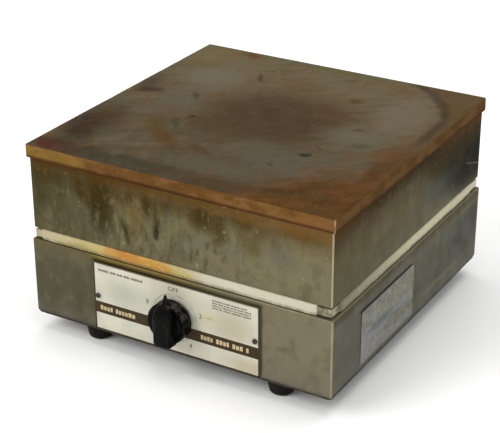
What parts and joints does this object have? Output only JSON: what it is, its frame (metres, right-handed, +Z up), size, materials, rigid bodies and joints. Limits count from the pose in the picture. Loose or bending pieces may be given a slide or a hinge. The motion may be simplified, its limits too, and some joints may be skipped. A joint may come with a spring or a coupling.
{
  "type": "hot plate",
  "caption": "Square electric hot plate: thick steel top plate on a tall insulated sheet-metal head, over a control box with a turning knob and rubber feet.",
  "frame": {"origin": "bottom centre of the whole object's box, knob and cord gland included, on the plane that the feet stand on", "axes": "+Z up, -Y towards the front panel and knob, +X to the right seen from the front"},
  "size_m": [0.305, 0.3314, 0.1841],
  "materials": {
    "plate_steel": "matte",
    "shell_steel": "satin",
    "bright_steel": "satin",
    "dark_steel": "satin",
    "element_tube": "matte",
    "fibre": "matte",
    "blanket": "matte",
    "panel_paint": "satin",
    "foil": "satin",
    "phenolic": "satin",
    "rubber_black": "matte",
    "ceramic": "matte",
    "brass": "satin",
    "sleeving": "matte"
  },
  "bodies": {
    "base": {"bottom_cover": "dark_steel", "clamp_cross": "dark_steel", "clamp_nut": "dark_steel", "clamp_stud": "dark_steel", "control_panel": "panel_paint", "cord_gland": "rubber_black", "data_label": "foil", "element_coil": "element_tube", "element_pin_inner": "bright_steel", "element_pin_outer": "bright_steel", "foot_back_left": "rubber_black", "foot_back_right": "rubber_black", "foot_front_left": "rubber_black", "foot_front_right": "rubber_black", "foot_nut_back_left": "bright_steel", "foot_nut_back_right": "bright_steel", "foot_nut_front_left": "bright_steel", "foot_nut_front_right": "bright_steel", "foot_screw_back_left": "bright_steel", "foot_screw_back_right": "bright_steel", "foot_screw_front_left": "bright_steel", "foot_screw_front_right": "bright_steel", "gasket_back": "fibre", "gasket_front": "fibre", "gasket_left": "fibre", "gasket_right": "fibre", "ground_screw": "brass", "heating_plate": "plate_steel", "insulation_blanket": "blanket", "insulation_tray": "bright_steel", "lead_line": "sleeving", "lead_load": "sleeving", "lead_neutral": "sleeving", "lower_shell": "shell_steel", "neck_nut": "brass", "panel_screw_left": "dark_steel", "panel_screw_right": "dark_steel", "reflector_pan": "bright_steel", "regulator_case": "phenolic", "regulator_mount": "bright_steel", "spacer_frame": "bright_steel", "terminal_blade_line": "brass", "terminal_blade_load": "brass", "terminal_block": "ceramic", "tie_nut_back_left": "bright_steel", "tie_nut_back_right": "bright_steel", "tie_nut_front_left": "bright_steel", "tie_nut_front_right": "bright_steel", "tie_stud_back_left": "bright_steel", "tie_stud_back_right": "bright_steel", "tie_stud_front_left": "bright_steel", "tie_stud_front_right": "bright_steel", "upper_shell": "shell_steel"},
    "knob": {"knob": "phenolic", "knob_insert": "brass", "knob_set_screw": "dark_steel", "regulator_shaft": "bright_steel", "regulator_cam": "ceramic"},
    "contact_arm": {"contact_arm": "brass"}
  },
  "joints": [
    {"name": "knob_turn", "type": "hinge", "parent": "base", "child": "knob", "pos_m": [0, -0.14375, 0.0544], "axis": [0, 1, 0], "range_deg": [0, 288]},
    {"name": "contact_arm_pivot", "type": "hinge", "parent": "base", "child": "contact_arm", "pos_m": [-0.014, -0.12035, 0.04555], "axis": [0, 1, 0], "range_deg": [0, 12.4]}
  ],
  "couplings": [
    {"joint": "contact_arm_pivot", "follows": "knob_turn", "ratio": 0.04263}
  ]
}
